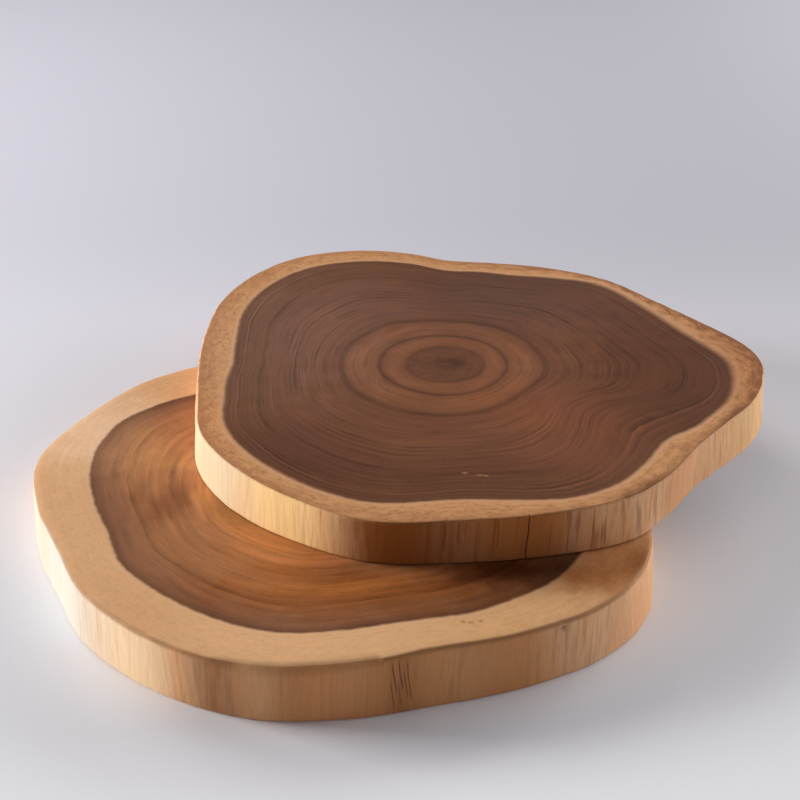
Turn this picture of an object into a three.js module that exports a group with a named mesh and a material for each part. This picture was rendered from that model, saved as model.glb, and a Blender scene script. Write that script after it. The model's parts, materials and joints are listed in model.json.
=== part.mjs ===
// Two stump cutting boards: cross-cut slices of two small trunks, the darker one lying loose on the paler.
// Millimetres, with +X to the right, +Y away from the viewer and +Z up. The origin is on the table, under the
// pith of the lower board.
import * as THREE from "three";

// Thickness of each slice, from its underside to its work face.
const LOWER_THICKNESS = 30;
const UPPER_THICKNESS = 24;

// The boards touch on the high spots of their sanded faces, and the faces themselves lie this far apart.
const SEAT_GAP = 0.3;

// Where the pith of the upper board stands, measured from the pith of the lower one.
const UPPER_PITH_X = 62.5;
const UPPER_PITH_Y = 92.5;

// Mean distance of each rim from its pith, how far one unit of swell takes the rim out past that, and how far
// one unit of lean takes the foot of the wall out past the rim.
const LOWER_RADIUS = 155;
const LOWER_SWELL = 10;
const LOWER_LEAN = 2;
const UPPER_RADIUS = 165;
const UPPER_SWELL = 10;
const UPPER_LEAN = 2;

// Radii that the sander left along the edge of each work face and of each underside.
const LOWER_RIM_ROUND = 2.5;
const LOWER_FOOT_ROUND = 1.5;
const UPPER_RIM_ROUND = 1.5;
const UPPER_FOOT_ROUND = 1.2;

// The outline of a slice is a smooth closed curve through a few points of its rim. Each row is one point: its
// bearing from the pith in degrees, 0 along +X and 90 along +Y, then its swell and its lean in the units
// above. The rim lies inside its mean radius where the swell is negative, and the wall is undercut where the
// lean is.
const LOWER_RIM = [
  { bearing: 0, swell: 0.4, lean: 1 },
  { bearing: 22, swell: -0.3, lean: 0.5 },
  { bearing: 45, swell: -0.5, lean: 0 },
  { bearing: 68, swell: -0.1, lean: 0.5 },
  { bearing: 90, swell: 0.5, lean: 0.5 },
  { bearing: 112, swell: 0.9, lean: 0 },
  { bearing: 132, swell: 1.1, lean: 0.5 },
  { bearing: 152, swell: 0.55, lean: 0.5 },
  { bearing: 170, swell: 0.4, lean: 1 },
  { bearing: 187, swell: -0.65, lean: 1 },
  { bearing: 204, swell: -1.3, lean: 1 },
  { bearing: 222, swell: -0.8, lean: 0.5 },
  { bearing: 243, swell: -0.2, lean: -0.5 },
  { bearing: 260, swell: 0.15, lean: -1 },
  { bearing: 276, swell: -0.2, lean: -0.25 },
  { bearing: 290, swell: -0.5, lean: 1 },
  { bearing: 304, swell: 0.25, lean: 0.5 },
  { bearing: 320, swell: 1.3, lean: 0.5 },
  { bearing: 333, swell: 1.45, lean: 1.5 },
  { bearing: 346, swell: 1, lean: 1 },
];
const UPPER_RIM = [
  { bearing: 0, swell: 1.3, lean: 0.5 },
  { bearing: 9, swell: 1, lean: 0.5 },
  { bearing: 20, swell: 0, lean: 0.5 },
  { bearing: 34, swell: -0.55, lean: 0 },
  { bearing: 50, swell: -0.2, lean: 0 },
  { bearing: 64, swell: -0.4, lean: -0.5 },
  { bearing: 78, swell: -0.75, lean: 0 },
  { bearing: 88, swell: -0.7, lean: 0.5 },
  { bearing: 97, swell: 0.7, lean: 0.5 },
  { bearing: 107, swell: 1.9, lean: 0 },
  { bearing: 119, swell: 2.35, lean: -0.5 },
  { bearing: 131, swell: 1.55, lean: 0 },
  { bearing: 146, swell: -0.05, lean: 0.5 },
  { bearing: 163, swell: -1.75, lean: 1 },
  { bearing: 180, swell: -2.5, lean: 1.5 },
  { bearing: 196, swell: -2.35, lean: 1.25 },
  { bearing: 212, swell: -1.2, lean: 1 },
  { bearing: 228, swell: -0.45, lean: 1.25 },
  { bearing: 244, swell: 0.3, lean: 0 },
  { bearing: 257, swell: 0.85, lean: -1 },
  { bearing: 270, swell: 0.3, lean: -0.25 },
  { bearing: 285, swell: 0.25, lean: 0 },
  { bearing: 300, swell: 0.35, lean: 1 },
  { bearing: 311, swell: -0.15, lean: 0 },
  { bearing: 323, swell: -0.75, lean: 0.25 },
  { bearing: 333, swell: -0.5, lean: 1.25 },
  { bearing: 345, swell: 0.5, lean: 1.25 },
];

// Fineness of the mesh: points round a board, steps over a quarter round, and samples that space the points.
const SPOKES = 120;
const ROUND_STEPS = 3;
const SPACING_SAMPLES = 2400;

// The closed curve of a slice's rim. Its third coordinate carries how far the foot stands out along the way.
function rimCurve(slice) {
  const points = slice.rim.map(({ bearing, swell, lean }) => {
    const turn = THREE.MathUtils.degToRad(bearing);
    const distance = slice.radius + slice.swell * swell;
    return new THREE.Vector3(distance * Math.cos(turn), distance * Math.sin(turn), slice.lean * lean);
  });
  const curve = new THREE.CatmullRomCurve3(points, true, "centripetal");
  curve.arcLengthDivisions = SPACING_SAMPLES;
  return curve;
}

// The direction straight out of the outline at each of its points, from the points on either side.
function outwardDirections(outline) {
  return outline.map((_, i) => {
    const before = outline[(i + outline.length - 1) % outline.length];
    const after = outline[(i + 1) % outline.length];
    return new THREE.Vector2(after.y - before.y, before.x - after.x).normalize();
  });
}

// The wall in section, from the edge of the underside to the edge of the work face: a quarter round at the
// foot, a straight run and a quarter round at the rim. Inset is the distance in from the wall's own line.
function wallSection({ thickness, rimRound, footRound }) {
  const turns = Array.from({ length: ROUND_STEPS + 1 }, (_, step) => ((step / ROUND_STEPS) * Math.PI) / 2);
  const foot = turns.map((turn) => ({
    height: footRound * (1 - Math.cos(turn)),
    inset: footRound * (1 - Math.sin(turn)),
  }));
  const rim = turns.map((turn) => ({
    height: thickness - rimRound * (1 - Math.sin(turn)),
    inset: rimRound * (1 - Math.cos(turn)),
  }));
  return [...foot, ...rim];
}

// One slice as a closed solid standing on z = 0 with its pith on the z axis: a ring of points for each height
// of the wall, quads between the rings, and a fan of triangles from the pith over each face.
function sliceGeometry(slice) {
  const outline = rimCurve(slice).getSpacedPoints(SPOKES).slice(0, SPOKES);
  const outward = outwardDirections(outline);
  const section = wallSection(slice);
  const positions = [];
  for (const { height, inset } of section) {
    outline.forEach((point, i) => {
      const out = point.z * (1 - height / slice.thickness) - inset;
      positions.push(point.x + outward[i].x * out, point.y + outward[i].y * out, height);
    });
  }
  const underPith = section.length * SPOKES;
  const topPith = underPith + 1;
  positions.push(0, 0, 0);
  positions.push(0, 0, slice.thickness);

  const triangles = [];
  const topRing = (section.length - 1) * SPOKES;
  for (let i = 0; i < SPOKES; i++) {
    const next = (i + 1) % SPOKES;
    for (let ring = 0; ring < topRing; ring += SPOKES) {
      triangles.push(ring + i, ring + next, ring + SPOKES + next);
      triangles.push(ring + i, ring + SPOKES + next, ring + SPOKES + i);
    }
    triangles.push(underPith, next, i);
    triangles.push(topPith, topRing + i, topRing + next);
  }

  const geometry = new THREE.BufferGeometry();
  geometry.setAttribute("position", new THREE.Float32BufferAttribute(positions, 3));
  geometry.setIndex(triangles);
  geometry.computeVertexNormals();
  return geometry;
}

// A board is one slice of wood with an oiled, sanded surface.
function board(name, slice, color) {
  const wood = new THREE.MeshStandardMaterial({ color, roughness: 0.55, metalness: 0 });
  const mesh = new THREE.Mesh(sliceGeometry(slice), wood);
  mesh.name = name;
  return mesh;
}

const lowerSlice = {
  rim: LOWER_RIM,
  radius: LOWER_RADIUS,
  swell: LOWER_SWELL,
  lean: LOWER_LEAN,
  thickness: LOWER_THICKNESS,
  rimRound: LOWER_RIM_ROUND,
  footRound: LOWER_FOOT_ROUND,
};
const upperSlice = {
  rim: UPPER_RIM,
  radius: UPPER_RADIUS,
  swell: UPPER_SWELL,
  lean: UPPER_LEAN,
  thickness: UPPER_THICKNESS,
  rimRound: UPPER_RIM_ROUND,
  footRound: UPPER_FOOT_ROUND,
};

const boards = new THREE.Group();

// The lower board shows warm brown heartwood inside a broad band of pale sapwood.
const lowerBoard = board("lower_board", lowerSlice, 0xb98654);
boards.add(lowerBoard);

// The upper board is mostly dark heartwood, and lies flat on the lower one, set back and to the right.
const upperBoard = board("upper_board", upperSlice, 0x6f4a36);
upperBoard.position.set(UPPER_PITH_X, UPPER_PITH_Y, LOWER_THICKNESS + SEAT_GAP);
boards.add(upperBoard);

export default boards;
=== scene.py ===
"""Looks of a pair of stump cutting boards: two cross-cut slices of rain tree, one lying on the other.

Each board is one closed surface of growth rings, drawn on a grid of bearing round the pith and way along the
section: out over the underside, up the wall and in over the work face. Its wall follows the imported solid.
"""
import json
import math
from dataclasses import dataclass

import bpy
import numpy as np
from bpy.props import FloatProperty, FloatVectorProperty, PointerProperty
from bpy.types import Operator, Panel, PropertyGroup
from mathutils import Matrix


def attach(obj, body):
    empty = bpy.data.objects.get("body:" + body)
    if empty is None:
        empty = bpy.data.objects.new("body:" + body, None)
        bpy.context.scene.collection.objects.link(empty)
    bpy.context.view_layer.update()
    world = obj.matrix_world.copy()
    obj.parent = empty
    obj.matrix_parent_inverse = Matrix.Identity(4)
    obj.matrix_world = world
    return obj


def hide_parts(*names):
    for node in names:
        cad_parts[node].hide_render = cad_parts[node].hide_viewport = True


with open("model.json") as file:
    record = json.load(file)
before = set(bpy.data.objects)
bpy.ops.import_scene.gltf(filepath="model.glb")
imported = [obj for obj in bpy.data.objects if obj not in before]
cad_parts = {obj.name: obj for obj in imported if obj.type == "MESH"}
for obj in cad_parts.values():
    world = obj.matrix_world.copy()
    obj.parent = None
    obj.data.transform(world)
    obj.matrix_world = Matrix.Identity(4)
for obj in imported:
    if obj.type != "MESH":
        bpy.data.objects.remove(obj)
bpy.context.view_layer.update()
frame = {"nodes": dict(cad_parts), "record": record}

bl_info = {
    "name": "Stump cutting boards",
    "version": (1, 0, 0),
    "blender": (4, 5, 0),
    "location": "3D View > Sidebar > Boards",
    "description": "Two live-edge slices of rain tree with growth rings, sapwood and debarked walls",
    "category": "Add Mesh",
}

MM = 0.001
FULL_TURN = 2 * math.pi
MOUNTS = {mount["name"]: np.array(mount["pos_m"]) for mount in frame["record"]["mounts"]}

# Stage, in metres and degrees. The floor takes on its far colours between two Y, and they blend between
# two X: the darker far colours are painted shade for light that falls off behind the boards, most to the
# right. The camera's tilt is from straight down, and its lens and sensor are in mm.
BOARDS_MIDDLE = np.array([0.04, 0.05, 0.03])
LAMP_DISTANCE = 2.2
BOX_HEIGHT = 0.8
WALL_LIGHT_SPREAD = 30
FLOOR_HALF = 8.0
FLOOR_NEAR_FAR = (-0.2, 0.5)
FLOOR_LEFT_RIGHT = (-0.4, 0.4)
CAMERA_PLACE = (0.036, -0.669, 0.41958)
CAMERA_TILT = 63
CAMERA_LENS = 67.5
CAMERA_SENSOR = 36

# Fineness of a board's grid: columns round the wall, and rows over each stretch of its section.
COLUMNS = 1440
WALL_ROWS = 24
RIM_ROWS = 7
FOOT_ROWS = 5
SAPWOOD_ROWS = 5
TOP_HEART_ROWS = 26
UNDER_HEART_ROWS = 13

# Relief of a wall: how uneven its rounds are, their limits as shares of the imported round, the slant of
# its fibres, and the shortest and longest waves of its rounds, fibres and swells.
ROUND_WEAR = 0.08
ROUND_LIMITS = (0.55, 1.45)
FIBRE_SLANT = 0.1
ROUND_WAVES = (12 * MM, 60 * MM)
FIBRE_WAVES = (2.2 * MM, 9 * MM)
SWELL_WAVES = (22 * MM, 90 * MM)

# The front, where a rim may be rounded more: its bearing, and the turns from there, in degrees, over
# which that rounding starts and ends.
FRONT_BEARING = 266
FRONT_START = (-14, -7)
FRONT_END = (14, 15.5)

# Marks of the walls: how much closer columns stand at a mark, over how many degrees, how far a mark
# wanders aside, and over what share of the wall's height its ends fade.
MARK_CROWDING = 3
MARK_REACH = 1.0
MARK_WANDER = 0.15 * MM
MARK_FADE = 0.15

# Grain. Noise along the rings: its cells to one radian, and their width across the rings in mm.
BAND_CELLS = 2.4
LINE_PATCHES = (3.0, 9)
DASHES = (60.0, 1.1)
MOTTLE = (18.0, 4)
FLECKS = (45.0, 2.0)
# Noise in the open: the size of its cells in mm, and how far the first two shift a ring. Real pores are
# finer, and they are drawn as coarse as they need to be to show.
DRIFT_CELL = 45
DRIFT_SHIFT = 4 * MM
TREMOR_CELL = 6
TREMOR_SHIFT = 0.8 * MM
PORE_CELL = 1.0
FRAY_CELL = 14
# How much dashes and pores change the brightness.
DASH_DEPTH = 0.4
PORE_DEPTH = 0.2
# How deep a patch goes that lies on the work face alone: painted shadow by the upper board, and small flecks
# and dots.
FACE_PATCH_DEPTH = 12 * MM
# Fibres of the wall: their size across and along in mm, the finest drawn coarser than real ones so that
# they show, their lean, and the frayed and soft ends of a sector, in radians.
FIBRE_SIZES = {"broad": (11, 60), "streak": (2.4, 70), "hair": (0.8, 35)}
FIBRE_LEAN = 0.06
SECTOR_FRAY = math.radians(8)
SECTOR_FADE = 0.14


@dataclass(frozen=True)
class Flute:
    """A groove that the growing trunk closed: its rings dip towards the pith along this bearing, in
    degrees. Before and after are how far it spreads to lower and to higher bearings. Depth is the share of
    the distance that is lost, and the pairs say at which growth shares it opened and closed."""

    bearing: float
    before: float
    after: float
    depth: float
    opens: tuple
    closes: tuple


@dataclass(frozen=True)
class Mark:
    """A crack or scratch up the wall: bearing in degrees at mid height, sizes in mm, and the share of the
    wall's height where it starts and ends. Lean is how far its head stands back from its foot, in mm, and
    shade how dark it is."""

    bearing: float
    width: float
    depth: float
    lean: float
    start: float = -0.2
    end: float = 1.2
    shade: float = 1.0


@dataclass(frozen=True)
class Patch:
    """A soft oval on the end grain: its centre from the pith and its half lengths in mm, its turn in
    degrees, the gain that it puts on red, green and blue, whether it lies on the sapwood, and whether it
    runs through the slice or lies on the work face alone. Most are tones of the wood, and some are
    painted light: painted shadow, painted shade, painted sheen and a painted glow."""

    x: float
    y: float
    wide: float
    deep: float
    turn: float
    gain: tuple
    on_sapwood: bool = False
    through: bool = True


@dataclass(frozen=True)
class Sector:
    """A stretch of the wall in another tone: its middle bearing and how far it reaches to either side, in
    degrees, how much of the tone it takes, and how far it quiets the streaks, or stirs them where that is
    negative."""

    bearing: float
    reach: float
    tone: str
    strength: float
    calm: float


@dataclass(frozen=True)
class Growth:
    """How one slice grew. Sapwood holds rows of bearing and width in mm, and bark rows of bearing and how
    brown the outer sapwood is there. Tones holds rows of distance from the pith in mm along a mean radius,
    a colour of the board and a brightness."""

    sapwood: tuple
    bark: tuple
    flutes: tuple
    marks: tuple
    tones: tuple
    patches: tuple
    sectors: tuple
    seed: int


UPPER_GROWTH = Growth(
    sapwood=(
        (0, 19), (10, 23), (20, 19.5), (30, 14.5), (42, 11), (52, 11), (60, 15.5), (70, 19.5), (80, 17.5),
        (90, 19), (110, 21), (130, 20), (150, 19.5), (170, 20), (180, 19.5), (190, 16), (205, 15),
        (235, 14), (250, 15), (262, 19), (272, 19), (281, 15.5), (290, 11), (300, 13), (310, 16), (320, 17),
        (330, 11), (340, 12), (350, 15),
    ),
    bark=(
        (0, 1.0), (45, 1.0), (70, 0.8), (100, 0.45), (140, 0.5), (200, 0.6), (250, 0.5), (290, 0.5),
        (330, 0.7),
    ),
    flutes=(
        Flute(-45, 28, 28, 0.07, (0.1, 0.35), (0.7, 1.0)),
        Flute(-31, 26, 10, 0.16, (0.36, 0.78), (0.86, 1.0)),
        Flute(5, 60, 60, 0.12, (0.05, 0.2), (0.45, 0.8)),
        Flute(95, 14, 14, 0.06, (0.3, 0.6), (0.7, 1.0)),
    ),
    marks=(
        Mark(281.5, 0.22, 1.2, -1.6, shade=0.85),
        Mark(276.6, 0.2, 0.3, -1.0, 0.3, 1.3, 0.5),
        Mark(268.0, 0.7, 0.1, -0.4, 0.25, 1.3, 0.4),
        Mark(270.2, 0.6, 0.1, -0.6, 0.4, 1.3, 0.4),
    ),
    tones=(
        (0, "pith", 0.9), (3, "pith", 0.76), (7, "pith", 0.8), (11, "heart", 0.82), (20, "heart", 0.84),
        (22.5, "heart", 0.7), (25, "inner", 0.96), (30, "inner", 1.1), (35, "inner", 1.05),
        (37, "inner", 0.82), (38.7, "inner", 0.5), (40.8, "inner", 0.9), (44, "inner", 1.06),
        (50, "inner", 1.1), (57, "inner", 1.0), (60.5, "inner", 0.76), (62.5, "inner", 0.52),
        (65.5, "heart", 0.92), (80, "heart", 1.02), (96, "heart", 0.95), (112, "heart", 0.94),
        (128, "outer", 1.0), (140, "outer", 1.05), (145, "outer", 0.95), (148, "outer", 0.82),
    ),
    patches=(
        Patch(5, 2, 9, 7, 0, (0.74, 0.66, 0.68)),
        Patch(45, 0, 40, 30, 0, (1.08, 1.1, 1.2)),
        Patch(58, -108, 42, 24, -20, (1.2, 1.12, 1.12)),
        Patch(58, -64, 66, 40, -30, (1.32, 1.18, 1.05)),
        # Painted shade: the right half of the work face is made darker, standing in for less light from the
        # right.
        Patch(125, -8, 76, 115, 0, (0.69, 0.57, 0.4)),
        Patch(35, 95, 110, 80, -10, (0.78, 0.88, 1.2)),
        Patch(-10, -122, 100, 28, 0, (0.86, 0.83, 0.84)),
        Patch(-75, -100, 55, 42, -35, (0.8, 0.78, 0.88)),
        # Painted sheen: paler, greyer heartwood at the back left, as a soft reflection of the lamps behind
        # would give.
        Patch(-105, 50, 105, 150, 0, (1.23, 1.56, 2.25)),
        Patch(5.3, -123.3, 2.2, 1.6, 0, (3.2, 4.0, 4.0), through=False),
        Patch(12.6, -125.3, 2.6, 1.4, 10, (2.4, 3.0, 2.8), through=False),
        Patch(15.5, -126.0, 1.6, 1.2, 0, (2.4, 3.0, 2.8), through=False),
        Patch(94, -137, 26, 8, 40, (0.5, 0.45, 0.4), True),
        Patch(118, -113, 20, 6, 45, (0.8, 0.72, 0.55), True),
        Patch(150, -62, 34, 5, 58, (0.7, 0.65, 0.6), True),
        Patch(-135, -75, 45, 45, 0, (1.06, 0.98, 0.97), True),
        Patch(166, 0, 50, 110, 0, (0.84, 0.74, 0.64), True),
        Patch(-150, 30, 70, 90, 0, (1.02, 1.06, 1.16), True),
    ),
    sectors=(
        Sector(240, 12, "wall_honey", 0.95, 0.85),
        # The pale stretch faces the left lamp: partly pale sapwood, partly painted highlight.
        Sector(216, 20, "wall_pale", 0.95, 0.93),
        Sector(230, 12, "wall_honey", 0.0, 0.75),
        Sector(280, 13, "wall_brown", 0.92, 0.0),
        Sector(261, 12, "stain", 0.92, 0.7),
        Sector(269.5, 3.5, "wall_dark", 0.25, -1.0),
        Sector(75, 85, "wall", 0.0, 0.45),
        Sector(316, 9, "wall_brown", 0.3, 0.5),
        Sector(328, 34, "wall", 0.4, 0.6),
        Sector(298, 4, "wall", 0.45, 0.6),
        Sector(343, 12, "wall_honey", 0.32, 0.35),
    ),
    seed=11,
)
LOWER_GROWTH = Growth(
    sapwood=(
        (20, 27), (60, 27), (100, 29), (130, 34), (140, 28), (150, 23), (160, 26), (170, 30), (182, 29),
        (200, 26.5), (215, 24.5), (230, 26.5), (250, 27), (265, 25.5), (280, 25), (292, 22.5), (302, 23),
        (310, 26), (320, 29), (330, 31), (350, 28),
    ),
    bark=((0, 0.3), (90, 0.2), (180, 0.12), (270, 0.12)),
    flutes=(),
    marks=(
        Mark(282.3, 0.25, 0.18, 3.4, 0.05, 0.62, 0.7),
        Mark(283.0, 0.28, 0.22, 3.2, 0.3, 0.95, 0.85),
        Mark(283.5, 0.22, 0.15, 3.2, 0.1, 0.6, 0.6),
        Mark(284.1, 0.28, 0.22, 3.0, 0.35, 1.0, 0.85),
        Mark(284.8, 0.24, 0.18, 2.8, 0.2, 0.8, 0.7),
        Mark(285.4, 0.25, 0.2, 2.4, 0.15, 0.95, 0.75),
        Mark(312.0, 1.2, 0.15, 0.4, 0.78, 1.3, 0.75),
    ),
    tones=(
        (0, "pith", 1.0), (6, "pith", 1.0), (12, "inner", 0.9), (17, "inner", 0.96), (19.5, "inner", 0.68),
        (22.5, "inner", 0.96), (32, "inner", 1.02), (35.5, "inner", 0.7), (39, "inner", 0.98),
        (66, "inner", 1.0), (74, "heart", 1.0), (80, "heart", 0.84), (87, "heart", 0.86),
        (93, "heart", 0.9), (99, "heart", 0.86), (103, "heart", 0.76), (108, "heart", 0.74),
        (117, "outer", 1.4), (121, "outer", 1.25), (124.5, "outer", 1.0), (128, "outer", 0.78),
    ),
    patches=(
        Patch(-35, -70, 32, 18, -25, (1.15, 1.06, 0.85)),
        Patch(-81, -18, 34, 13, 74, (0.7, 0.62, 0.6)),
        Patch(-97, -8, 34, 7, 82, (0.86, 0.82, 0.8)),
        # Painted sheen: paler, greyer heartwood at the back left.
        Patch(-119, 50, 35, 66, 20, (1.46, 1.64, 1.62)),
        Patch(-18, -94, 28, 9, -11, (1.25, 1.32, 1.4)),
        Patch(24, -92, 28, 9, 14, (1.3, 1.36, 1.4)),
        # Painted shadow in front of the upper board's front wall, partly the dark outer heartwood there.
        Patch(92, -80, 56, 17, 6, (0.3, 0.2, 0.15), through=False),
        Patch(-50, -28, 24, 15, -45, (0.7, 0.76, 0.72)),
        # Painted glow: lighter heartwood next to the upper board's left wall, where that bright wall throws
        # light back.
        Patch(-76, 26, 14, 17, 0, (1.2, 1.26, 1.2)),
        Patch(10, -97, 112, 32, 0, (0.84, 0.64, 0.37)),
        # Painted shadow: the upper board's shade on the lower work face at the front right, on the heartwood
        # and the sapwood.
        Patch(90, -80, 45, 38, 30, (0.82, 0.7, 0.52), through=False),
        Patch(141, -77, 38, 32, 60, (0.78, 0.56, 0.38), True, False),
        Patch(117, -85, 21, 17, 20, (0.68, 0.5, 0.36), True, False),
        Patch(152, -74, 14, 24, -25, (0.74, 0.64, 0.56), True, False),
        # Painted sheen: paler, bluer sapwood at the back left.
        Patch(-128, 62, 50, 70, 20, (1.22, 1.38, 1.7), True),
        Patch(95, -112, 64, 30, 42, (0.98, 0.96, 0.9), True),
        Patch(-85, -112, 60, 26, -45, (0.93, 0.9, 0.9), True),
        Patch(64, -121, 1.6, 1.2, 0, (0.7, 0.55, 0.3), True, False),
        Patch(67.5, -121.5, 2.0, 1.3, 0, (0.75, 0.6, 0.3), True, False),
        Patch(72, -120.5, 1.4, 1.1, 0, (0.7, 0.55, 0.3), True, False),
    ),
    sectors=(
        Sector(238, 16, "wall_honey", 0.95, 0.7),
        # The pale stretch faces the left lamp: partly pale sapwood, partly painted highlight.
        Sector(200, 35, "wall_pale", 0.95, 0.9),
        Sector(186, 14, "wall", 0.28, 0.0),
        Sector(280, 34, "wall_brown", 0.9, 0.15),
        Sector(75, 85, "wall", 0.0, 0.3),
        Sector(261, 3.5, "wall_honey", 0.22, 0.0),
        Sector(295, 5, "wall_honey", 0.1, 0.0),
        Sector(246.5, 4, "wall_brown", 0.65, 0.0),
        Sector(253, 4.5, "stain", 0.72, -1.5),
        Sector(265.5, 1.2, "stain", 0.25, -0.5),
        Sector(284, 2.4, "stain", 0.55, -0.5),
        Sector(304, 8, "wall_brown", 0.8, 0.0),
        Sector(313, 4, "wall", 0.4, -0.4),
        Sector(331, 14, "wall", 0.7, 0.75),
    ),
    seed=23,
)


def linear(code):
    """The linear light of an sRGB hex colour such as #a06a45."""
    shares = [int(code[i : i + 2], 16) / 255 for i in (1, 3, 5)]
    return [s / 12.92 if s <= 0.04045 else ((s + 0.055) / 1.055) ** 2.4 for s in shares]


def colour(name, code, description):
    """A colour that a user can change, given as sRGB hex."""
    return FloatVectorProperty(
        name=name, description=description, subtype="COLOR", size=3, min=0, max=1, default=linear(code)
    )


def length(name, millimetres, description):
    """A length that a user can change, given in millimetres and kept in metres."""
    return FloatProperty(
        name=name, description=description, subtype="DISTANCE", unit="LENGTH", min=0, default=millimetres * MM
    )


def amount(name, value, description):
    """A number from 0 up that a user can change."""
    return FloatProperty(name=name, description=description, min=0, default=value)


def fraction(name, value, description):
    """A share from 0 to 1 that a user can change."""
    return FloatProperty(name=name, description=description, subtype="FACTOR", min=0, max=1, default=value)


class UpperBoardLook(PropertyGroup):
    """Sizes and colours of the dark upper board."""

    pith: colour("Pith", "#643d29", "Dark core of the slice")
    inner: colour("Inner heartwood", "#77492e", "Redder wood of the first years")
    heart: colour("Heartwood", "#6e432c", "Dark brown heartwood")
    outer: colour("Outer heartwood", "#653d26", "Last years before the sapwood")
    seam: colour("Seam", "#cc9b72", "Pale line between heartwood and sapwood")
    sapwood: colour("Sapwood", "#cc9666", "Tan ring under the bark")
    bark_side: colour("Bark side", "#95613b", "Browner sapwood where the bark was")
    fleck: colour("Sapwood flecks", "#84532f", "Pores and stains in the sapwood")
    wall: colour("Wall", "#dfa87b", "Debarked side of the slice")
    # Also a painted highlight on the lamp-lit left of the wall.
    wall_pale: colour("Pale fibres", "#dcc6a4", "Lightest fibres of the wall")
    wall_honey: colour("Honey fibres", "#f6d091", "Fibres between the pale and the brown")
    wall_brown: colour("Brown fibres", "#a4612c", "Browner stretch along the front")
    wall_dark: colour("Dark fibres", "#8a4820", "Brown streaks up the wall")
    stain: colour("Stain", "#844408", "Weathered stretches of the wall")
    crack: colour("Cracks", "#46220f", "Dirt in the cracks and scratches")
    year: length("Year", 3.4, "Mean width of one growth ring")
    band: length("Band", 6, "Mean width of the bands that several years form")
    edge: length("Heartwood edge", 1.1, "How far heartwood and sapwood run into each other")
    fibre: length("Fibre relief", 0.03, "Depth of the fibres that stand out of the wall")
    swell: length("Wall swell", 0.06, "Depth of the slow waves round the wall")
    broad_rim: length("Broad rim", 0.0, "How much more the rim is rounded along the front")
    line_depth: fraction("Year lines", 0.55, "How dark the late wood is drawn")
    band_depth: fraction("Bands", 0.8, "How much the bands differ in brightness")
    pore_depth: fraction("Pores", 0.65, "How much the sapwood is speckled")
    streak_depth: fraction("Streaks", 0.75, "How brown the streaks up the wall are")
    rim_wear: fraction("Rim wear", 0.2, "How brown the rounded rim is")


class LowerBoardLook(PropertyGroup):
    """Sizes and colours of the pale lower board."""

    pith: colour("Pith", "#7d4a2e", "Dark core of the slice")
    inner: colour("Inner heartwood", "#c4824c", "Orange wood of the first years")
    heart: colour("Heartwood", "#bb7e52", "Warm brown heartwood")
    outer: colour("Outer heartwood", "#80553b", "Last years before the sapwood")
    seam: colour("Seam", "#e2b488", "Pale line between heartwood and sapwood")
    sapwood: colour("Sapwood", "#e4b384", "Pale ring under the bark")
    bark_side: colour("Bark side", "#a3744b", "Browner sapwood where the bark was")
    fleck: colour("Sapwood flecks", "#c08a58", "Pores and stains in the sapwood")
    wall: colour("Wall", "#e6b083", "Debarked side of the slice")
    # Also a painted highlight on the lamp-lit left of the wall.
    wall_pale: colour("Pale fibres", "#ccc9bd", "Lightest fibres of the wall")
    wall_honey: colour("Honey fibres", "#eccba3", "Fibres between the pale and the brown")
    wall_brown: colour("Brown fibres", "#c98a59", "Browner stretch along the front")
    wall_dark: colour("Dark fibres", "#b47648", "Brown streaks up the wall")
    stain: colour("Stain", "#7a4a28", "Weathered stretches of the wall")
    crack: colour("Cracks", "#5a3218", "Dirt in the cracks and scratches")
    year: length("Year", 6, "Mean width of one growth ring")
    band: length("Band", 4.8, "Mean width of the bands that several years form")
    edge: length("Heartwood edge", 1.3, "How far heartwood and sapwood run into each other")
    fibre: length("Fibre relief", 0.03, "Depth of the fibres that stand out of the wall")
    swell: length("Wall swell", 0.06, "Depth of the slow waves round the wall")
    broad_rim: length("Broad rim", 2.5, "How much more the rim is rounded along the front")
    line_depth: fraction("Year lines", 0.3, "How dark the late wood is drawn")
    band_depth: fraction("Bands", 1.0, "How much the bands differ in brightness")
    pore_depth: fraction("Pores", 0.25, "How much the sapwood is speckled")
    streak_depth: fraction("Streaks", 0.42, "How brown the streaks up the wall are")
    rim_wear: fraction("Rim wear", 0.85, "How brown the rounded rim is")


class StageLook(PropertyGroup):
    """Floor, light and camera."""

    floor: colour("Floor", "#f1f4fd", "Pale paper that the boards stand on")
    # The far colours are painted shade: darker where less light reaches the paper, most on the right.
    far_left: colour("Far left floor", "#d3d4e3", "The same paper, away behind the boards on the left")
    far_right: colour("Far right floor", "#babbc7", "The same paper, away behind the boards on the right")
    sky: colour("Fill light", "#eeeef3", "Soft light from all round")
    sky_strength: amount("Fill strength", 0.17, "Brightness of the fill light")
    lamp: colour("Lamps", "#fffaf4", "Light from the sides and from behind")
    left_power: amount("Left power", 64, "Watts of the left soft box")
    right_power: amount("Right power", 44, "Watts of the right soft box")
    front_power: amount("Front power", 5, "Watts of the low front soft box")
    back_left: amount("Back left", 1.1, "Strength of the light from the back left")
    back_right: amount("Back right", 0.8, "Strength of the light from the back right")


# Shapes


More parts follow.
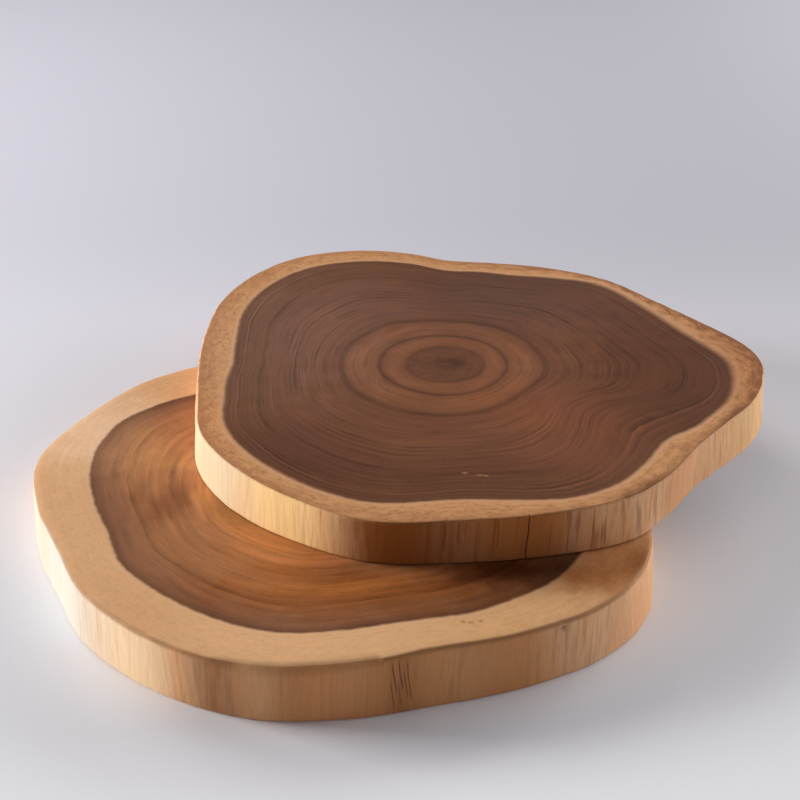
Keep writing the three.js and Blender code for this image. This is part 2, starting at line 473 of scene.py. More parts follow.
def round_curve(bearings, values, at):
    """A smooth closed curve of value by bearing, in radians. Between two points it is the cubic whose slope
    at each of them is that of the line between the points before and after it."""
    order = np.argsort(bearings)
    x = np.asarray(bearings, float)[order]
    y = np.asarray(values, float)[order]
    x = np.concatenate([x[-2:] - FULL_TURN, x, x[:2] + FULL_TURN])
    y = np.concatenate([y[-2:], y, y[:2]])
    slope = np.gradient(y, x)
    i = np.clip(np.searchsorted(x, at, side="right") - 1, 1, len(x) - 3)
    step = x[i + 1] - x[i]
    t = (at - x[i]) / step
    rise = y[i + 1] - y[i]
    eased = t * t * (3 - 2 * t)
    leave = slope[i] * step * t * (1 - t) ** 2
    arrive = slope[i + 1] * step * t * t * (t - 1)
    return y[i] + rise * eased + leave + arrive


def smooth_step(low, high, value):
    """0 below low, 1 above high, and an even S between them."""
    t = np.clip((value - low) / (high - low), 0, 1)
    return t * t * (3 - 2 * t)


def turn_from(bearing, degrees):
    """The signed angle, in radians, from a bearing in degrees to each bearing of an array."""
    return (bearing - math.radians(degrees) + math.pi) % FULL_TURN - math.pi


def crowded_turn(marks):
    """Bearings of the columns, which stand closer together at each mark of the wall: the share of columns
    passed by a bearing is the running sum of a density with a hump at each mark."""
    fine = np.linspace(0, FULL_TURN, 20 * COLUMNS + 1)
    density = np.ones_like(fine)
    for mark in marks:
        aside = turn_from(fine, mark.bearing) / math.radians(MARK_REACH)
        density += MARK_CROWDING * np.exp(-(aside**2))
    passed = np.concatenate([[0], np.cumsum((density[1:] + density[:-1]) / 2)])
    return np.interp(np.arange(COLUMNS) / COLUMNS, passed / passed[-1], fine)


def packed_wall(node, pith, bearings):
    """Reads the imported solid: its four heights (underside, top of the foot round, bottom of the rim round,
    work face) and the wall's distance from the pith along each bearing, at the second and third of them.
    The straight run of the wall is the tallest stretch between two neighbouring heights."""
    mesh = frame["nodes"][node].data
    points = np.empty(3 * len(mesh.vertices))
    mesh.vertices.foreach_get("co", points)
    points = np.unique(points.reshape(-1, 3).round(6), axis=0)
    levels = points[:, 2].round(5)
    heights = np.unique(levels)
    run = int(np.argmax(np.diff(heights)))
    lines = []
    for height in heights[run : run + 2]:
        x, y = (points[levels == height, :2] - pith[:2]).T
        lines.append(round_curve(np.arctan2(y, x) % FULL_TURN, np.hypot(x, y), bearings))
    return (heights[0], heights[run], heights[run + 1], heights[-1]), lines


def ripples(around, radius, shortest, longest, rng, count=26):
    """Uneven ridges up a wall, with a mean square of 1: a sum of cosines that close after one turn, each
    with a random phase and a random wavelength between shortest and longest at that radius."""
    cycles = rng.integers(int(FULL_TURN * radius / longest), int(FULL_TURN * radius / shortest), count)
    phases = rng.uniform(0, FULL_TURN, count)
    return np.cos(around[..., None] * cycles + phases).sum(-1) * math.sqrt(2 / count)


def ring_distance(share, heart, bearings, flutes):
    """Distance from the pith of the growth ring at a share of the way to the heartwood's edge: round at
    first, then more and more like that edge, and dented along each flute while the trunk had not yet closed
    it."""
    likeness = smooth_step(0.15, 1.0, share)
    distance = share * ((1 - likeness) * heart.mean() + likeness * heart)
    for flute in flutes:
        open_flute = smooth_step(*flute.opens, share) * (1 - smooth_step(*flute.closes, share))
        turn = turn_from(bearings, flute.bearing)
        spread = np.radians(np.where(turn < 0, flute.before, flute.after))
        across = np.exp(-((turn / spread) ** 2))
        distance = distance * (1 - flute.depth * open_flute * across)
    return distance


def wall_marks(marks, bearings, height_share, radius):
    """How deep, in metres, and how dark, from 0 to 1, the marks of a wall are at each bearing and share of
    height: a bell across each mark, fading at its ends."""
    depth = np.zeros(np.broadcast(bearings, height_share).shape)
    dark = np.zeros_like(depth)
    for mark in marks:
        wander = MARK_WANDER * np.sin(9 * height_share + mark.bearing)
        aside = turn_from(bearings, mark.bearing) * radius - mark.lean * MM * (0.5 - height_share) + wander
        bell = np.exp(-((aside / (mark.width * MM)) ** 2))
        bell = bell * smooth_step(mark.start, mark.start + MARK_FADE, height_share)
        bell = bell * (1 - smooth_step(mark.end - MARK_FADE, mark.end, height_share))
        depth = depth + mark.depth * MM * bell
        dark = np.maximum(dark, mark.shade * bell)
    return depth, dark


def board_grid(node, pith, growth, look):
    """The rows of a board from the pith of its underside to that of its work face, as arrays of row by
    column: distance, height, growth share, distance past the heartwood's edge, darkness of marks, wear of
    the rim and brownness of the outer sapwood."""
    rng = np.random.default_rng(growth.seed)
    bearings = crowded_turn(growth.marks)
    (bottom, foot_top, rim_bottom, top), (foot_line, rim_line) = packed_wall(node, pith, bearings)
    mean = rim_line.mean()
    rows = np.array(growth.sapwood, float)
    sapwood = round_curve(np.radians(rows[:, 0]), rows[:, 1] * MM, bearings)
    rows = np.array(growth.bark, float)
    bark = round_curve(np.radians(rows[:, 0]), rows[:, 1], bearings)
    heart = rim_line - sapwood

    from_front = turn_from(bearings, FRONT_BEARING)
    front = smooth_step(*np.radians(FRONT_START), from_front)
    front = front * (1 - smooth_step(*np.radians(FRONT_END), from_front))
    wear = 1 + ROUND_WEAR * ripples(bearings, mean, *ROUND_WAVES, rng)
    rim_round = (top - rim_bottom) * np.clip(wear, *ROUND_LIMITS) + look.broad_rim * front
    foot_round = (foot_top - bottom) * np.clip(wear[::-1], *ROUND_LIMITS)

    wall_share = np.linspace(0, 1, WALL_ROWS)[:, None]
    wall_height = (bottom + foot_round) + wall_share * ((top - rim_round) - (bottom + foot_round))
    lean_share = (wall_height - foot_top) / (rim_bottom - foot_top)
    slanted = bearings + FIBRE_SLANT * (wall_height - bottom) / mean
    # The fibres stand out more and less three times round the wall.
    fibres = ripples(slanted, mean, *FIBRE_WAVES, rng) * (0.6 + 0.4 * np.cos(3 * slanted + 1.0))
    swells = ripples(slanted, mean, *SWELL_WAVES, rng)
    up_share = (wall_height - bottom) / (top - bottom)
    depth, dark = wall_marks(growth.marks, bearings[None, :], up_share, mean)
    relief = look.fibre * fibres + look.swell * swells - depth - look.swell
    wall = foot_line + lean_share * (rim_line - foot_line) + relief

    rim_turn = np.linspace(0, math.pi / 2, RIM_ROWS)[1:, None]
    rim = wall[-1] - rim_round * (1 - np.cos(rim_turn))
    rim_height = top - rim_round * (1 - np.sin(rim_turn))
    foot_turn = np.linspace(0, math.pi / 2, FOOT_ROWS)[:-1, None]
    foot = wall[0] - foot_round * (1 - np.sin(foot_turn))
    foot_height = bottom + foot_round * (1 - np.cos(foot_turn))

    part = np.linspace(1, 0, SAPWOOD_ROWS + 1)[1:, None]
    top_sapwood = heart + part * (rim[-1] - heart)
    under_sapwood = (heart + part * (foot[0] - heart))[::-1]
    top_shares = np.linspace(1, 0, TOP_HEART_ROWS)[1:-1, None]
    top_heart = ring_distance(top_shares, heart, bearings, growth.flutes)
    under_shares = np.linspace(0, 1, UNDER_HEART_ROWS)[1:-1, None]
    under_heart = ring_distance(under_shares, heart, bearings, growth.flutes)

    flat = np.ones(COLUMNS)
    distance = np.concatenate([under_heart, under_sapwood, foot, wall, rim, top_sapwood, top_heart])
    height = np.concatenate([
        np.full((len(under_heart) + len(under_sapwood), 1), bottom) * flat,
        foot_height,
        wall_height,
        rim_height,
        np.full((len(top_sapwood) + len(top_heart), 1), top) * flat,
    ])
    outside = distance[len(under_heart) : len(distance) - len(top_heart)]
    age = np.concatenate([under_shares * flat, 1 + (outside - heart) / sapwood, top_shares * flat])
    marked = np.zeros_like(distance)
    wall_start = len(under_heart) + len(under_sapwood) + len(foot)
    rim_start = wall_start + WALL_ROWS
    marked[wall_start:rim_start] = dark
    worn = np.zeros_like(distance)
    worn[rim_start : rim_start + len(rim)] = np.sin(2 * rim_turn) ** 2 * (1 - front)
    # Side grain starts about half way up the foot round and ends about half way up the rim round.
    end_rows = np.ones(len(distance), bool)
    end_rows[wall_start - FOOT_ROWS // 2 : rim_start + RIM_ROWS // 2] = False
    # Towards the pith, rows keep a half, a quarter and so on of the columns.
    strides = 2 ** np.floor(np.log2(1 / np.clip(age.max(1), 1 / 32, 1)) + 1).astype(int)
    strides[age.max(1) > 0.97] = 1
    return {
        "bearings": bearings,
        "distance": distance,
        "height": height,
        "growth": age,
        "past_heart": distance - heart,
        "mark": marked,
        "worn": worn,
        "bark": np.ones((len(distance), 1)) * bark,
        "end_rows": end_rows,
        "strides": strides,
        "heights": (bottom, top),
        "heart_radius": heart.mean(),
    }


def band_faces(low, high):
    """Faces between two neighbouring rows of vertex numbers, which have as many columns or one twice as
    many as the other: quads, or three triangles to each column of the shorter row."""
    low_next = np.roll(low, -1)
    high_next = np.roll(high, -1)
    if len(low) == len(high):
        return np.stack([low, low_next, high_next, high], 1).tolist()
    if len(low) > len(high):
        first, middle, last = low[::2], low[1::2], np.roll(low[::2], -1)
        triangles = [(first, middle, high), (middle, high_next, high), (middle, last, high_next)]
    else:
        first, middle, last = high[::2], high[1::2], np.roll(high[::2], -1)
        triangles = [(low, low_next, middle), (low, middle, first), (low_next, last, middle)]
    return np.concatenate([np.stack(corners, 1) for corners in triangles]).tolist()


def board_mesh(name, grid, pith):
    """One closed mesh from a board's grid. Rows near the pith keep fewer columns, and a vertex closes each
    face."""
    columns = [np.arange(0, COLUMNS, stride) for stride in grid["strides"]]
    rows = np.concatenate([np.full(len(kept), row) for row, kept in enumerate(columns)])
    kept = np.concatenate(columns)
    bearing = grid["bearings"][kept]
    distance = grid["distance"][rows, kept]
    points = np.stack([
        pith[0] + distance * np.cos(bearing),
        pith[1] + distance * np.sin(bearing),
        grid["height"][rows, kept],
    ], 1)
    bottom, top = grid["heights"]
    poles = np.array([[pith[0], pith[1], bottom], [pith[0], pith[1], top]])
    points = np.concatenate([points, poles])
    starts = np.concatenate([[0], np.cumsum([len(c) for c in columns])])
    numbers = [np.arange(start, end) for start, end in zip(starts, starts[1:])]
    under_pole, top_pole = len(points) - 2, len(points) - 1

    faces = np.stack([np.full(len(numbers[0]), under_pole), np.roll(numbers[0], -1), numbers[0]], 1).tolist()
    slots = [0] * len(faces)
    for row, (low, high) in enumerate(zip(numbers, numbers[1:])):
        band = band_faces(low, high)
        faces += band
        slots += [0 if grid["end_rows"][row] else 1] * len(band)
    cap = np.stack([numbers[-1], np.roll(numbers[-1], -1), np.full(len(numbers[-1]), top_pole)], 1).tolist()
    faces += cap
    slots += [0] * len(cap)

    mesh = bpy.data.meshes.new(name)
    mesh.from_pydata(points.tolist(), [], faces)
    mesh.polygons.foreach_set("material_index", slots)
    mesh.polygons.foreach_set("use_smooth", [True] * len(faces))
    pole_values = {"growth": 0, "past_heart": -grid["heart_radius"], "mark": 0, "worn": 0, "bark": 0}
    for key, at_pole in pole_values.items():
        values = np.concatenate([grid[key][rows, kept], [at_pole, at_pole]]).astype(np.float32)
        mesh.attributes.new(key, "FLOAT", "POINT").data.foreach_set("value", values)
    mesh.update()
    mesh.validate()
    return mesh


# Materials


def add(tree, kind, inputs=(), stops=(), **settings):
    """Adds one shader node of a kind such as Math. Settings are its properties and stops a colour ramp's
    rows of position and colour. Inputs fill its sockets in order, or by name where they are a dict: a node
    or socket is linked, the rest are values."""
    made = tree.nodes.new(f"ShaderNode{kind}")
    for name, value in settings.items():
        setattr(made, name, value)
    for row, (position, shade) in enumerate(stops):
        elements = made.color_ramp.elements
        element = elements[row] if row < len(elements) else elements.new(position)
        element.position = position
        element.color = (*shade, 1)
    pairs = inputs.items() if isinstance(inputs, dict) else enumerate(inputs)
    sockets = made.inputs if isinstance(inputs, dict) else [s for s in made.inputs if s.enabled]
    for key, value in pairs:
        if isinstance(value, bpy.types.Node):
            value = next(s for s in value.outputs if s.enabled)
        if isinstance(value, bpy.types.NodeSocket):
            tree.links.new(value, sockets[key])
        elif sockets[key].type == "RGBA":
            sockets[key].default_value = (*value, 1)
        else:
            sockets[key].default_value = value
    return made


def new_material(name):
    """An empty node material."""
    material = bpy.data.materials.new(name)
    material.use_nodes = True
    material.node_tree.nodes.clear()
    return material


def dull_surface(tree, shade, roughness, **more):
    """Ends a material in a surface that hardly shines."""
    inputs = {"Base Color": shade, "Roughness": roughness, "Specular IOR Level": 0.1, **more}
    surface = add(tree, "BsdfPrincipled", inputs)
    add(tree, "OutputMaterial", {"Surface": surface})


def per(millimetres):
    """The scale at which a texture's cells are that many millimetres wide."""
    return 1 / (millimetres * MM)


def end_grain(name, pith, grid, growth, look):
    """Rain tree end grain, sanded and oiled: dull brown heartwood whose years show as fine dark lines, an
    edge that is softer where the sapwood is brown, and tan sapwood speckled with pores."""
    material = new_material(name)
    tree = material.node_tree
    heart_radius = grid["heart_radius"]
    work_face = grid["heights"][1]
    place = add(tree, "TexCoord").outputs["Object"]
    grown = add(tree, "Attribute", attribute_name="growth").outputs["Fac"]
    past = add(tree, "Attribute", attribute_name="past_heart").outputs["Fac"]
    drift = add(tree, "TexNoise", {"Vector": place, "Scale": per(DRIFT_CELL), "Detail": 2.0})
    tremor = add(tree, "TexNoise", {"Vector": place, "Scale": per(TREMOR_CELL), "Detail": 3.0})

    # Age is the distance from the pith along a mean radius, with the unsteady line of real growth.
    start = -(DRIFT_SHIFT + TREMOR_SHIFT) / 2
    age = add(tree, "Math", (grown, heart_radius, start), operation="MULTIPLY_ADD")
    age = add(tree, "Math", (drift, DRIFT_SHIFT, age), operation="MULTIPLY_ADD")
    age = add(tree, "Math", (tremor, TREMOR_SHIFT, age), operation="MULTIPLY_ADD")
    age_share = add(tree, "Math", (age, heart_radius), operation="DIVIDE")
    stops = []
    for distance, tone, brightness in growth.tones:
        shade = [brightness * part for part in getattr(look, tone)]
        stops.append((distance * MM / heart_radius, shade))
    heart = add(tree, "ValToRGB", (age_share,), stops=stops)
    outward = outward_direction(tree, place, pith)

    # Years, and now and then a hard year with a darker end, drawn more or less strongly round the slice.
    hard = year_lines(tree, age, width=3.1 * look.year, sharpness=7.0)
    line = year_lines(tree, age, width=look.year, sharpness=2.4)
    line = add(tree, "Math", (hard, 0.8, line), operation="MULTIPLY_ADD")
    patchy = ring_noise(tree, outward, age, *LINE_PATCHES)
    patchy = add(tree, "MapRange", (patchy, 0.38, 0.66, 0.1, 1.2))
    line = add(tree, "Math", (line, patchy), operation="MULTIPLY")
    late = add(tree, "MapRange", (age_share, 0.3, 0.55, 0.4, 1.0), interpolation_type="SMOOTHSTEP")
    line = add(tree, "Math", (line, late), operation="MULTIPLY")

    # Brightness: those lines, bands of several years that come and go round the slice, dashes and pores,
    # which are noise with a mean of one half.
    bands = ring_noise(tree, outward, age, BAND_CELLS, look.band / MM)
    dashes = ring_noise(tree, outward, age, *DASHES)
    pores = add(tree, "TexNoise", {"Vector": place, "Scale": per(PORE_CELL), "Detail": 2.0})
    plain = 1.1 - (look.band_depth + DASH_DEPTH + PORE_DEPTH) / 2
    shade = add(tree, "Math", (line, -look.line_depth, plain), operation="MULTIPLY_ADD")
    shade = add(tree, "Math", (bands, look.band_depth, shade), operation="MULTIPLY_ADD")
    shade = add(tree, "Math", (dashes, DASH_DEPTH, shade), operation="MULTIPLY_ADD")
    shade = add(tree, "Math", (pores, PORE_DEPTH, shade), operation="MULTIPLY_ADD")
    heart = add(tree, "VectorMath", {"Vector": heart, "Scale": shade}, operation="SCALE")

    # The sapwood: a pale seam, then tan, then browner wood where the bark was, speckled along the rings.
    # Its inner edge is softer where that browner wood is strong.
    depth_in = add(tree, "Math", (tremor, 1.4 * look.edge, past), operation="MULTIPLY_ADD")
    depth_in = add(tree, "Math", (depth_in, 0.7 * look.edge), operation="SUBTRACT")
    bark = add(tree, "Attribute", attribute_name="bark").outputs["Fac"]
    crisp = add(tree, "Math", (bark, -0.85, 1.2), operation="MULTIPLY_ADD")
    depth_in = add(tree, "Math", (depth_in, crisp), operation="MULTIPLY")
    seam = add(tree, "MapRange", (depth_in, 0.5 * MM, 3 * MM), interpolation_type="SMOOTHSTEP")
    sap = add(tree, "Mix", (seam, look.seam, look.sapwood), data_type="RGBA")
    mottle = ring_noise(tree, outward, past, *MOTTLE)
    outer = add(tree, "Math", (mottle, 2.2, grown), operation="MULTIPLY_ADD")
    outer = add(tree, "MapRange", (outer, 2.2, 3.15), interpolation_type="SMOOTHSTEP")
    outer = add(tree, "Math", (outer, bark), operation="MULTIPLY")
    sap = add(tree, "Mix", (outer, sap, look.bark_side), data_type="RGBA")
    fleck = ring_noise(tree, outward, past, *FLECKS)
    fleck = add(tree, "MapRange", (fleck, 0.5, 0.7, 0.0, look.pore_depth))
    fleck = add(tree, "Math", (fleck, seam), operation="MULTIPLY")
    fleck = add(tree, "Math", (fleck, crisp), operation="MULTIPLY")
    sap = add(tree, "Mix", (fleck, sap, look.fleck), data_type="RGBA")
    sap_shade = add(tree, "Math", (bands, 0.25, 0.775), operation="MULTIPLY_ADD")
    sap_shade = add(tree, "Math", (pores, PORE_DEPTH, sap_shade), operation="MULTIPLY_ADD")
    sap = add(tree, "VectorMath", {"Vector": sap, "Scale": sap_shade}, operation="SCALE")

    # Soft ovals where the wood is redder, paler or darker than the rest of its ring, with frayed edges. Some
    # are painted light rather than wood: painted shadow where the upper board shades the lower, painted shade
    # on the upper board's right half, painted sheen at the back left and a painted glow of bounced light.
    fray = add(tree, "TexNoise", {"Vector": place, "Scale": per(FRAY_CELL), "Detail": 3.0})
    for patch in growth.patches:
        inputs = {
            "Vector": place,
            "Location": (pith[0] + patch.x * MM, pith[1] + patch.y * MM, work_face),
            "Rotation": (0, 0, math.radians(patch.turn)),
            "Scale": (patch.wide * MM, patch.deep * MM, 1 if patch.through else FACE_PATCH_DEPTH),
        }
        local = add(tree, "Mapping", inputs, vector_type="TEXTURE")
        away = add(tree, "VectorMath", (local,), operation="LENGTH").outputs["Value"]
        away = add(tree, "Math", (fray, 0.8, away), operation="MULTIPLY_ADD")
        near = add(tree, "MapRange", (away, 1.5, 0.5, 0.0, 1.0), interpolation_type="SMOOTHSTEP")
        gain = add(tree, "Mix", (near, (1, 1, 1), patch.gain), data_type="RGBA")
        if patch.on_sapwood:
            sap = add(tree, "VectorMath", (sap, gain), operation="MULTIPLY")
        else:
            heart = add(tree, "VectorMath", (heart, gain), operation="MULTIPLY")

    edge = add(tree, "MapRange", (depth_in, -look.edge, look.edge), interpolation_type="SMOOTHSTEP")
    wood = add(tree, "Mix", (edge, heart, sap), data_type="RGBA")
    wood = worn_rim(tree, wood, look)
    gloss = add(tree, "MapRange", (pores, 0.3, 0.7, 0.62, 0.78))
    bump = add(tree, "Bump", {"Height": pores, "Strength": 0.25, "Distance": 0.12 * MM})
    dull_surface(tree, wood, gloss, Normal=bump)
    return material


def worn_rim(tree, wood, look):
    """The wood, browner along the rounded rim, where hands and the sander took the pale fibres off."""
    worn = add(tree, "Attribute", attribute_name="worn").outputs["Fac"]
    worn = add(tree, "Math", (worn, look.rim_wear), operation="MULTIPLY")
    return add(tree, "Mix", (worn, wood, look.bark_side), data_type="RGBA")


def year_lines(tree, age, width, sharpness):
    """Lines at the turn of each year, dark above 0 and pale below it: years of uneven width darken towards
    their end as a power of the share that has passed, start with a faint pale line, and are each more or
    less marked."""
    pace = add(tree, "TexNoise", {"W": age, "Scale": 0.16 / width, "Detail": 1.0}, noise_dimensions="1D")
    year = add(tree, "Math", (age, width), operation="DIVIDE")
    year = add(tree, "Math", (pace, 4.0, year), operation="MULTIPLY_ADD")
    season = add(tree, "Math", (year,), operation="FRACT")
    count = add(tree, "Math", (year,), operation="FLOOR")
    chance = add(tree, "TexWhiteNoise", {"W": count}, noise_dimensions="1D").outputs["Value"]
    chance = add(tree, "Math", (chance, 0.8, 0.2), operation="MULTIPLY_ADD")
    late = add(tree, "Math", (season, sharpness), operation="POWER")
    left = add(tree, "Math", (1.0, season), operation="SUBTRACT")
    early = add(tree, "Math", (left, 2 * sharpness), operation="POWER")
    line = add(tree, "Math", (early, -0.85, late), operation="MULTIPLY_ADD")
    return add(tree, "Math", (line, chance), operation="MULTIPLY")


def outward_direction(tree, place, pith):
    """The level direction from the pith to each place."""
    outward = add(tree, "VectorMath", (place, tuple(pith)), operation="SUBTRACT")
    outward = add(tree, "VectorMath", (outward, (1, 1, 0)), operation="MULTIPLY")
    return add(tree, "VectorMath", (outward,), operation="NORMALIZE")


def ring_noise(tree, outward, distance, cells, width):
    """Noise drawn out along the rings: so many cells to one radian, each as wide as the width in mm across
    them."""
    turn = add(tree, "VectorMath", {"Vector": outward, "Scale": cells}, operation="SCALE")
    across = add(tree, "Math", (distance, per(width)), operation="MULTIPLY")
    lift = add(tree, "CombineXYZ", {"Z": across})
    spot = add(tree, "VectorMath", (turn, lift), operation="ADD")
    return add(tree, "TexNoise", {"Vector": spot, "Scale": 1.0, "Detail": 4.0, "Roughness": 0.6})


def side_grain(name, pith, growth, look):
    """Rain tree sapwood with the bark peeled off and lightly sanded: cream to honey fibres that run up the
    wall, with brown streaks, a dull surface and dark cracks."""
    material = new_material(name)
    tree = material.node_tree
    place = add(tree, "TexCoord").outputs["Object"]
    mark = add(tree, "Attribute", attribute_name="mark").outputs["Fac"]
    fibres = {}
    for key, (across, up) in FIBRE_SIZES.items():
        cell = (across * MM, across * MM, up * MM)
        inputs = {"Vector": place, "Rotation": (0, FIBRE_LEAN, 0), "Scale": cell}
        stretched = add(tree, "Mapping", inputs, vector_type="TEXTURE")
        fibres[key] = add(tree, "TexNoise", {"Vector": stretched, "Scale": 1.0, "Detail": 3.0})

    # Stretches of the wall that are paler or browner, set by bearing from the pith. The pale stretch where
    # the left lamp shines is partly pale sapwood and partly painted highlight.
    outward = outward_direction(tree, place, pith)
    pale = add(tree, "MapRange", (fibres["broad"], 0.42, 0.65), interpolation_type="SMOOTHSTEP")
    pale = add(tree, "Math", (pale, 0.6 * look.streak_depth), operation="MULTIPLY")
    wood = add(tree, "Mix", (pale, look.wall, look.wall_pale), data_type="RGBA")
    lively = look.streak_depth
    for sector in growth.sectors:
        middle = math.radians(sector.bearing)
        facing = (math.cos(middle), math.sin(middle), 0)
        near = add(tree, "VectorMath", (outward, facing), operation="DOT_PRODUCT").outputs["Value"]
        turn = add(tree, "Math", (near,), operation="ARCCOSINE")
        turn = add(tree, "Math", (fibres["streak"], SECTOR_FRAY, turn), operation="MULTIPLY_ADD")
        reach = math.radians(sector.reach)
        fade = (reach + SECTOR_FADE, reach * 0.5)
        taken = add(tree, "MapRange", (turn, *fade), interpolation_type="SMOOTHSTEP")
        share = add(tree, "Math", (taken, sector.strength), operation="MULTIPLY")
        wood = add(tree, "Mix", (share, wood, getattr(look, sector.tone)), data_type="RGBA")
        quiet = add(tree, "Math", (taken, -sector.calm, 1.0), operation="MULTIPLY_ADD")
        lively = add(tree, "Math", (quiet, lively), operation="MULTIPLY")

    brown = add(tree, "MapRange", (fibres["streak"], 0.48, 0.7), interpolation_type="SMOOTHSTEP")
    brown = add(tree, "Math", (brown, lively), operation="MULTIPLY")
    wood = add(tree, "Mix", (brown, wood, look.wall_dark), data_type="RGBA")
    wood = worn_rim(tree, wood, look)
    wood = add(tree, "Mix", (mark, wood, look.crack), data_type="RGBA")
    shade = add(tree, "Math", (fibres["hair"], 0.3, 0.85), operation="MULTIPLY_ADD")
    wood = add(tree, "VectorMath", {"Vector": wood, "Scale": shade}, operation="SCALE")
    gloss = add(tree, "MapRange", (fibres["hair"], 0.3, 0.7, 0.55, 0.7))
    bump = add(tree, "Bump", {"Height": fibres["hair"], "Strength": 0.3, "Distance": 0.12 * MM})
    dull_surface(tree, wood, gloss, Normal=bump)
    return material


def make_board(name, node, pith, growth, look):
    """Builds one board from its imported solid, gives it its two woods and lets it stand for the solid."""
    grid = board_grid(node, pith, growth, look)
    piece = bpy.data.objects.new(name, board_mesh(name, grid, pith))
    bpy.context.scene.collection.objects.link(piece)
    piece.data.materials.append(end_grain(f"{name}_end_grain_oiled", pith, grid, growth, look))
    piece.data.materials.append(side_grain(f"{name}_side_grain_debarked", pith, growth, look))
    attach(piece, node)
    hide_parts(node)


class BOARDS_OT_lower(Operator):
    """Make the pale lower board"""

    bl_idname = "boards.lower"
    bl_label = "Lower board"

    def execute(self, context):
        look = context.scene.lower_board_look
        make_board("lower_slice", "lower_board", MOUNTS["underside"], LOWER_GROWTH, look)
        return {"FINISHED"}


class BOARDS_OT_upper(Operator):
    """Make the dark upper board"""

    bl_idname = "boards.upper"
    bl_label = "Upper board"

    def execute(self, context):
        look = context.scene.upper_board_look
        make_board("upper_slice", "upper_board", MOUNTS["work_face"], UPPER_GROWTH, look)
        return {"FINISHED"}


def place_lamp(lamp, bearing, rise):
    """Puts a lamp where it shines on the boards from a bearing and a rise over the floor, in degrees."""
    turn, lift = math.radians(bearing), math.radians(rise)
    towards = np.array([math.cos(lift) * math.cos(turn), math.cos(lift) * math.sin(turn), math.sin(lift)])
    placed = bpy.data.objects.new(lamp.name, lamp)
    placed.location = BOARDS_MIDDLE + LAMP_DISTANCE * towards
    placed.rotation_euler = (math.pi / 2 - lift, 0, turn + math.pi / 2)
    bpy.context.scene.collection.objects.link(placed)


def soft_box(name, bearing, rise, width, power, shade):
    """A soft box so many metres wide and BOX_HEIGHT tall."""
    lamp = bpy.data.lights.new(name, "AREA")
    lamp.shape = "RECTANGLE"
    lamp.size = width
    lamp.size_y = BOX_HEIGHT
    lamp.energy = power
    lamp.color = shade
    place_lamp(lamp, bearing, rise)


def wall_light(name, bearing, rise, strength, shade):
    """An even light from far off, whose rays spread as those of a bright wall do."""
    lamp = bpy.data.lights.new(name, "SUN")
    lamp.angle = math.radians(WALL_LIGHT_SPREAD)
    lamp.energy = strength
    lamp.color = shade
    place_lamp(lamp, bearing, rise)


def paper_floor(look):
    """A wide floor of matt paper, whose colour changes behind the boards, and there from left to right:
    painted shade for the light that falls off there.
    """
    mesh = bpy.data.meshes.new("floor")
    corners = [(FLOOR_HALF * x, FLOOR_HALF * y, 0) for x, y in ((-1, -1), (1, -1), (1, 1), (-1, 1))]
    mesh.from_pydata(corners, [], [(0, 1, 2, 3)])
    floor = bpy.data.objects.new("floor", mesh)
    bpy.context.scene.collection.objects.link(floor)
    paper = new_material("matt_paper")
    tree = paper.node_tree
    place = add(tree, "TexCoord").outputs["Object"]
    way = add(tree, "SeparateXYZ", (place,)).outputs
    # The far colours are painted shade: the paper is darkened away from the lamps, most on the right.
    away = add(tree, "MapRange", (way["Y"], *FLOOR_NEAR_FAR), interpolation_type="SMOOTHSTEP")
    across = add(tree, "MapRange", (way["X"], *FLOOR_LEFT_RIGHT), interpolation_type="SMOOTHSTEP")
    far = add(tree, "Mix", (across, look.far_left, look.far_right), data_type="RGBA")
    shade = add(tree, "Mix", (away, look.floor, far), data_type="RGBA")
    dull_surface(tree, shade, roughness=0.9)
    mesh.materials.append(paper)


def fill_light(look):
    """A world that shines softly from all round."""
    world = bpy.data.worlds.new("studio")
    world.use_nodes = True
    tree = world.node_tree
    tree.nodes.clear()
    sky = add(tree, "Background", {"Color": look.sky, "Strength": look.sky_strength})
    add(tree, "OutputWorld", {"Surface": sky})
    bpy.context.scene.world = world


def stage_camera():
    """The scene's camera, which looks down on the boards from the front."""
    lens = bpy.data.cameras.new("camera")
    lens.sensor_width = CAMERA_SENSOR
    lens.lens = CAMERA_LENS
    camera = bpy.data.objects.new("camera", lens)
    camera.location = CAMERA_PLACE
    camera.rotation_euler = (math.radians(CAMERA_TILT), 0, 0)
    bpy.context.scene.collection.objects.link(camera)
    bpy.context.scene.camera = camera


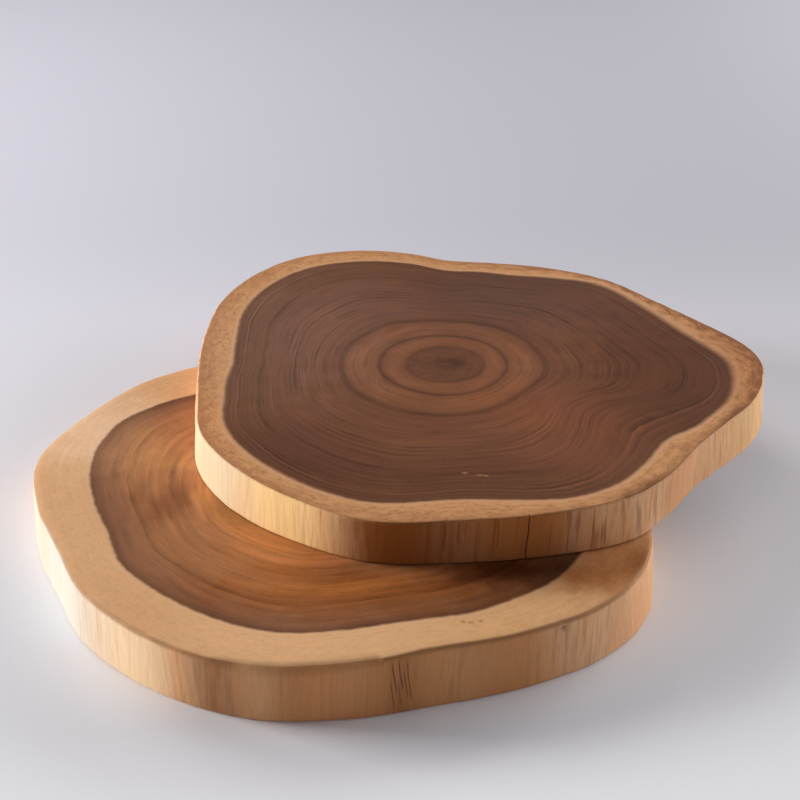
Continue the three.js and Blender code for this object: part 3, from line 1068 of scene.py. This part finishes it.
class BOARDS_OT_stage(Operator):
    """Make the floor, the lights and the camera"""

    bl_idname = "boards.stage"
    bl_label = "Stage"

    def execute(self, context):
        look = context.scene.board_stage_look
        paper_floor(look)
        fill_light(look)
        soft_box("left_box", bearing=170, rise=12.5, width=0.8, power=look.left_power, shade=look.lamp)
        soft_box("right_box", bearing=24, rise=16, width=2.0, power=look.right_power, shade=look.lamp)
        soft_box("front_box", bearing=228, rise=11, width=0.8, power=look.front_power, shade=look.lamp)
        wall_light("back_left_light", bearing=126, rise=25, strength=look.back_left, shade=look.lamp)
        wall_light("back_right_light", bearing=62, rise=16, strength=look.back_right, shade=look.lamp)
        stage_camera()
        context.scene.view_settings.view_transform = "Standard"
        return {"FINISHED"}


class BOARDS_PT_sidebar(Panel):
    """Lists the pieces and their settings"""

    bl_idname = "BOARDS_PT_sidebar"
    bl_label = "Stump cutting boards"
    bl_space_type = "VIEW_3D"
    bl_region_type = "UI"
    bl_category = "Boards"

    def draw(self, context):
        rows = (
            (BOARDS_OT_lower, context.scene.lower_board_look),
            (BOARDS_OT_upper, context.scene.upper_board_look),
            (BOARDS_OT_stage, context.scene.board_stage_look),
        )
        for operator, look in rows:
            box = self.layout.box()
            box.operator(operator.bl_idname)
            for key in look.__annotations__:
                box.prop(look, key)


LOOKS = {
    "lower_board_look": LowerBoardLook,
    "upper_board_look": UpperBoardLook,
    "board_stage_look": StageLook,
}
CLASSES = (*LOOKS.values(), BOARDS_OT_lower, BOARDS_OT_upper, BOARDS_OT_stage, BOARDS_PT_sidebar)


def register():
    """Registers the classes and hangs their settings on the scene."""
    for kind in CLASSES:
        bpy.utils.register_class(kind)
    for name, kind in LOOKS.items():
        setattr(bpy.types.Scene, name, PointerProperty(type=kind))


def unregister():
    """Takes the settings and the classes away again."""
    for name in LOOKS:
        delattr(bpy.types.Scene, name)
    for kind in reversed(CLASSES):
        bpy.utils.unregister_class(kind)


def main():
    """Makes the stage and both boards."""
    register()
    bpy.ops.boards.stage()
    bpy.ops.boards.lower()
    bpy.ops.boards.upper()


if __name__ == "__main__":
    main()
